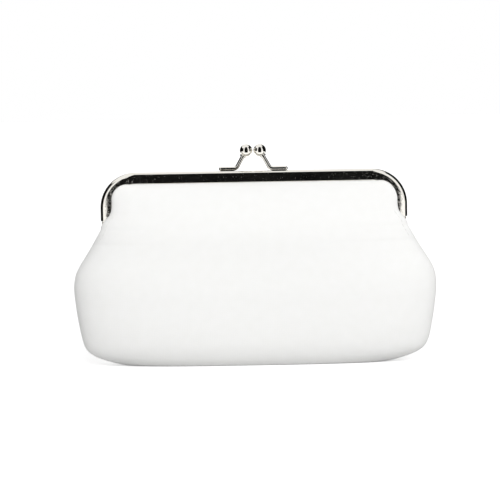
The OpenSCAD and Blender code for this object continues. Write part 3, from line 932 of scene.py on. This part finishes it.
def twisted_cord(name, side):
    """A cord of two lobes: the radius at angle a and distance s is
    CORD_R (0.78 + 0.22 |cos(a - turn)|), and turn grows with s."""
    s, path, out = frame_path(CORD_INSET, foot_z + 0.1, CORD_STEP)
    angle = np.linspace(0, 2 * np.pi, CORD_CORNERS + 1)[:-1]
    turn = 2 * np.pi * s[:, None] / TWIST_PITCH
    lobes = CORD_R * (0.78 + 0.22 * np.abs(np.cos(angle - turn)))
    across, ahead = lobes * np.cos(angle), lobes * np.sin(angle)
    points = np.stack(
        [path[:, None, 0] + out[:, None, 0] * across, -side * (CORD_Y + ahead),
         path[:, None, 1] + out[:, None, 1] * across], -1,
    )
    faces = grid_faces(len(s), len(angle), flip=side < 0, closed=True)
    ends = np.stack([points[0].mean(0), points[-1].mean(0)])
    count = len(s) * len(angle)
    first = np.arange(len(angle))
    after = (first + 1) % len(angle)
    last = count - len(angle)
    caps = np.concatenate([
        np.stack([first, np.full_like(first, count), after], -1),
        np.stack([last + first, last + after, np.full_like(first, count + 1)], -1),
    ])[:, ::side]
    uv = np.stack(np.broadcast_arrays(s[:, None], CORD_R * angle[None]), -1)
    uv = np.concatenate([uv.reshape(-1, 2), np.zeros((2, 2))])
    points = np.concatenate([points.reshape(-1, 3), ends])
    return make_piece(name, points, (faces, caps), uv, paper)


for word, half, side in HALVES:
    cord = twisted_cord(f"{word}_twisted_cord", side)
    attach(cord, half)
    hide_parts(f"{word}_paper_cord")
print("cords:", len(cord.data.vertices), "points each")

# %% [markdown]
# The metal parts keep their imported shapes, which are fine enough to mirror the
# room, and get the nickel finish. The channels' flats are many small triangles.
# Modifiers join them into whole faces, with sharp edges between them, so that a
# flat mirrors the room as one.

# %% Metal parts
WELD_AT = 1e-6                    # metres
FLAT_ANGLE, SHARP_ANGLE = 0.5, 30  # degrees

metal = [name for name in frame["nodes"] if name.endswith(("channel", "rivet", "arm", "ball"))]
for name in metal:
    node = frame["nodes"][name]
    if name.endswith("channel"):
        weld = node.modifiers.new("joined_triangles", "WELD")
        weld.merge_threshold = WELD_AT
        flats = node.modifiers.new("whole_flats", "DECIMATE")
        flats.decimate_type, flats.angle_limit = "DISSOLVE", np.radians(FLAT_ANGLE)
        split = node.modifiers.new("sharp_edges", "EDGE_SPLIT")
        split.split_angle = np.radians(SHARP_ANGLE)
        node.modifiers.new("even_shading", "WEIGHTED_NORMAL")
    node.data.materials.clear()
    node.data.materials.append(nickel)
print("nickel plated:", ", ".join(sorted(metal)))

# %% [markdown]
# The room gives soft light on all sides, a little more from the side where the
# front lamp is. To the camera and to mirrors it is plain white.

# %% World
ROOM_LIGHT = 0.36     # mean light of the room, against 1 for white
ROOM_SLANT = 0.12     # how much more comes from the lit side, and less from the other
LIT_SIDE = (0.22, -0.80, 0.56)


def seen_straight(tree):
    """1 for rays from the camera, a mirror or glass, and 0 for scattered light."""
    path = add_node(tree, "ShaderNodeLightPath")
    mirror = add_node(
        tree, "ShaderNodeMath", {"operation": "MAXIMUM"},
        {0: (path, "Is Glossy Ray"), 1: (path, "Is Transmission Ray")},
    )
    return add_node(
        tree, "ShaderNodeMath", {"operation": "MAXIMUM"},
        {0: (path, "Is Camera Ray"), 1: (mirror, "Value")},
    )


world = bpy.data.worlds.new("soft_white_room")
bpy.context.scene.world = world
world.use_nodes = True
tree = world.node_tree
tree.nodes.clear()
seen = seen_straight(tree)
sky = add_node(tree, "ShaderNodeTexCoord")
facing = add_node(
    tree, "ShaderNodeVectorMath", {"operation": "DOT_PRODUCT", 1: LIT_SIDE},
    {0: (sky, "Generated")},
)
slanted = add_node(
    tree, "ShaderNodeMapRange",
    {"From Min": -1.0, "To Min": ROOM_LIGHT - ROOM_SLANT, "To Max": ROOM_LIGHT + ROOM_SLANT},
    {"Value": (facing, "Value")},
)
strength = add_node(
    tree, "ShaderNodeMapRange", {"To Max": 1.0},
    {"Value": (seen, "Value"), "To Min": (slanted, "Result")},
)
background = add_node(
    tree, "ShaderNodeBackground", {"Color": (1, 1, 1, 1)}, {"Strength": (strength, "Result")}
)
add_node(tree, "ShaderNodeOutputWorld", links={"Surface": (background, "Background")})
print(f"room light {ROOM_LIGHT} plus or minus {ROOM_SLANT}")

# %% [markdown]
# The floor is pale grey paint. To the camera and to mirrors it glows as well, just
# enough to reach white where no shadow falls.

# %% Floor
FLOOR_SIZE, FLOOR_LINES = 40000, 21
FLOOR_GLOW = 0.58

floor_paint, tree, shader = new_material("pale_studio_floor")
shader.inputs["Base Color"].default_value = linear("#D8D8D8")
shader.inputs["Roughness"].default_value = 0.9
shader.inputs["Specular IOR Level"].default_value = 0.1
seen = seen_straight(tree)
glow = add_node(
    tree, "ShaderNodeMapRange", {"To Min": 0.0, "To Max": FLOOR_GLOW}, {"Value": (seen, "Value")}
)
tree.links.new(glow.outputs["Result"], shader.inputs["Emission Strength"])
shader.inputs["Emission Color"].default_value = (1, 1, 1, 1)

lines = np.linspace(-0.5, 0.5, FLOOR_LINES) * FLOOR_SIZE
floor_grid = np.stack(np.meshgrid(lines, lines, [0]), -1)[:, :, 0]
floor_faces = (grid_faces(FLOOR_LINES, FLOOR_LINES),)
floor = make_piece("studio_floor", floor_grid, floor_faces, None, floor_paint)
print("floor:", FLOOR_SIZE * MM, "m wide")

# %% [markdown]
# Bright metal needs something dark to mirror. A velvet card in front makes the
# frame's flat face black, and two at the sides draw the dark lines along its
# edges. The cards are seen in mirrors alone. Each card is flat, and its colour is
# painted lighter and darker in patches, as the shade of soft folds.

# %% Dark cards
# size of the patches of painted fold shade on the flat cards
FOLD_SHADE_SIZE = 30        # of the velvet's soft folds
BALL_LINES = 25       # points along each side of a round card

velvet, tree, shader = new_material("black_velvet_card")
place = add_node(tree, "ShaderNodeTexCoord")
painted_fold_shade = add_node(
    tree, "ShaderNodeTexNoise", {"Scale": 1 / (FOLD_SHADE_SIZE * MM), "Detail": 3.0},
    {"Vector": (place, "Object")},
)
# painted fold shade: lighter and darker patches stand in for folds catching the light
tinted(tree, shader, ("#060606", "#252525"), (painted_fold_shade, "Fac"))
shader.inputs["Roughness"].default_value = 1.0
shader.inputs["Specular IOR Level"].default_value = 0.0


def dark_card(name, points):
    """A velvet card through a grid of points, in millimetres, seen in mirrors alone."""
    card = make_piece(name, points, (grid_faces(*points.shape[:2]),), None, velvet)
    card.visible_camera = card.visible_diffuse = card.visible_shadow = False
    card.visible_transmission = card.visible_volume_scatter = False


def flat_card(name, sides, distance, heights):
    """An upright card square to the view, in front of the purse, between two sides
    and two heights."""
    x, z = np.meshgrid(np.linspace(*sides, 13), np.linspace(*heights, 13))
    dark_card(name, np.stack([x, np.full_like(x, -distance), z], -1))


def round_card(name, distance, azimuths, elevations):
    """Part of a ball round the clasp, between two directions and two elevations in
    degrees. Direction 0 is where the camera stands, and 90 is to its right."""
    a, e = np.meshgrid(
        *(np.radians(np.linspace(*v, BALL_LINES)) for v in (azimuths, elevations))
    )
    across, z = distance * np.cos(e), crown_z + distance * np.sin(e)
    dark_card(name, np.stack([across * np.sin(a), -across * np.cos(a), z], -1))


flat_card("dark_card_front", (-95.2, 95.6), 160, (1, 450))
round_card("dark_card_left", 520, (-160, -50), (-12, 36))
round_card("dark_card_right", 520, (60, 160), (-12, 55))
print("velvet cards: one in front, one on each side")

# %% [markdown]
# A broad lamp stands in front, above and a little to the right. A weaker one
# behind lights the back, so that it looks as pale as it is from there too.

# %% Lamps


def soft_sun(name, direction, strength, width):
    """Even light from one direction, which mirrors don't show. width is the angle
    in degrees over which it spreads."""
    light = bpy.data.lights.new(name, "SUN")
    light.energy, light.angle = strength, np.radians(width)
    shown = bpy.data.objects.new(name, light)
    bpy.context.scene.collection.objects.link(shown)
    shown.rotation_mode = "QUATERNION"
    shown.rotation_quaternion = (-Vector(direction)).to_track_quat("-Z", "Y")
    shown.visible_glossy = False
    print(f"{name}: strength {strength}")


soft_sun("broad_front_lamp", LIT_SIDE, strength=1.97, width=45)
soft_sun("broad_rear_lamp", (-0.25, 0.95, 0.2), strength=1.35, width=45)

# %% [markdown]
# The picture is made with the plain Standard view, so a colour renders about
# as it is written.

# %% Finish
bpy.context.scene.view_settings.view_transform = "Standard"
